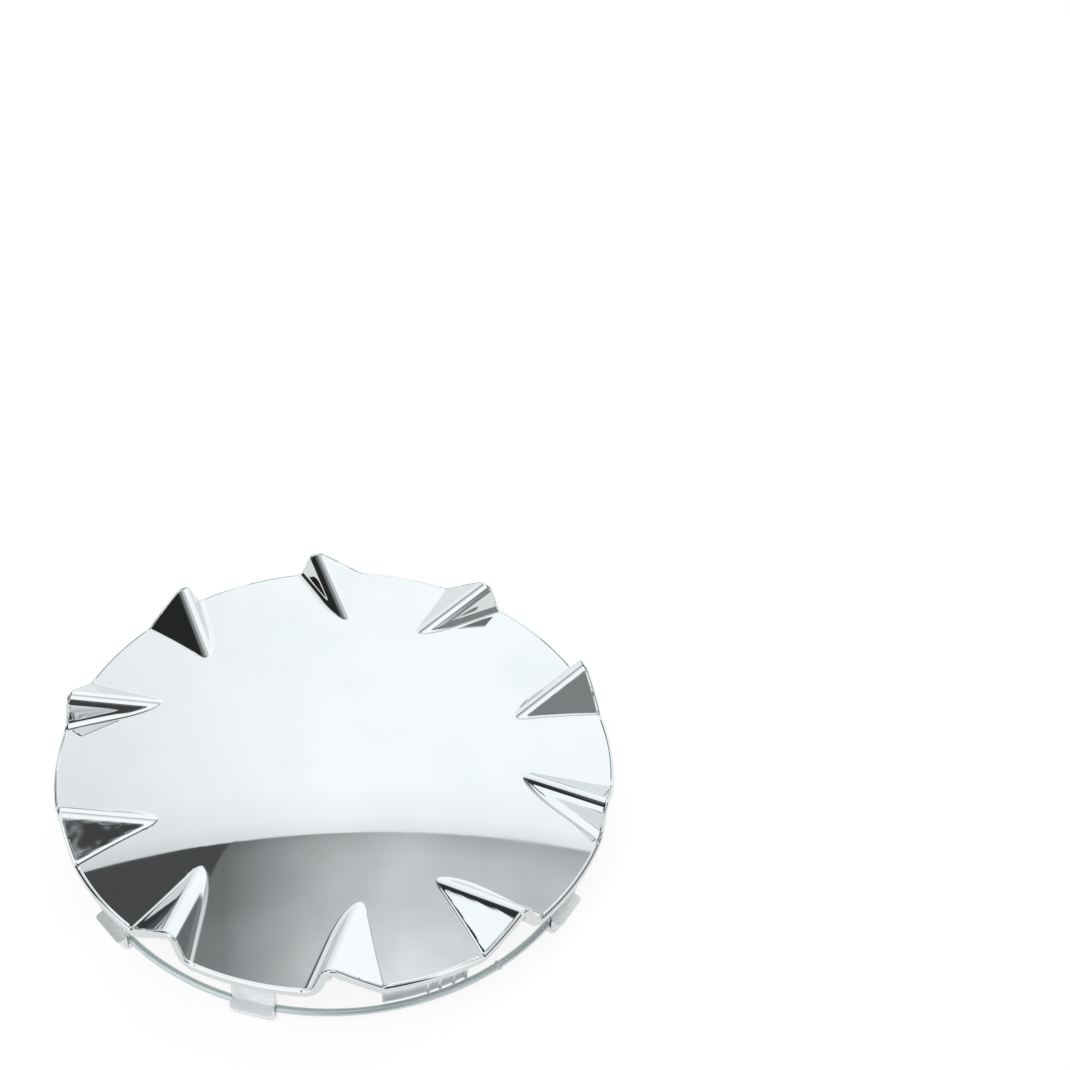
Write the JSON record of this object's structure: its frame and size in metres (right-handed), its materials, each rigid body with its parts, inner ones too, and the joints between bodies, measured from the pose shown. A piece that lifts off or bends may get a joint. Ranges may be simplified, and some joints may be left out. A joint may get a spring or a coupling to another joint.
{
  "type": "wheel center cap",
  "caption": "Chrome-plated domed wheel centre cap with paired hollow rim ridges, snap legs and a spring-wire retaining ring.",
  "frame": {"origin": "middle of the plane on which the leg feet stand, on the dome's axis", "axes": "+Z along the dome's axis towards the shown face, +Y along the middle line of the pair of ridges beside the gap in the rim edge"},
  "size_m": [0.1992, 0.1998, 0.0351],
  "materials": {
    "plated_plastic": "mirror-bright chrome plating on moulded plastic",
    "spring_wire": "zinc-plated drawn spring wire"
  },
  "bodies": {
    "root": {"cap": "plated_plastic", "retaining_ring": "spring_wire"}
  },
  "joints": []
}
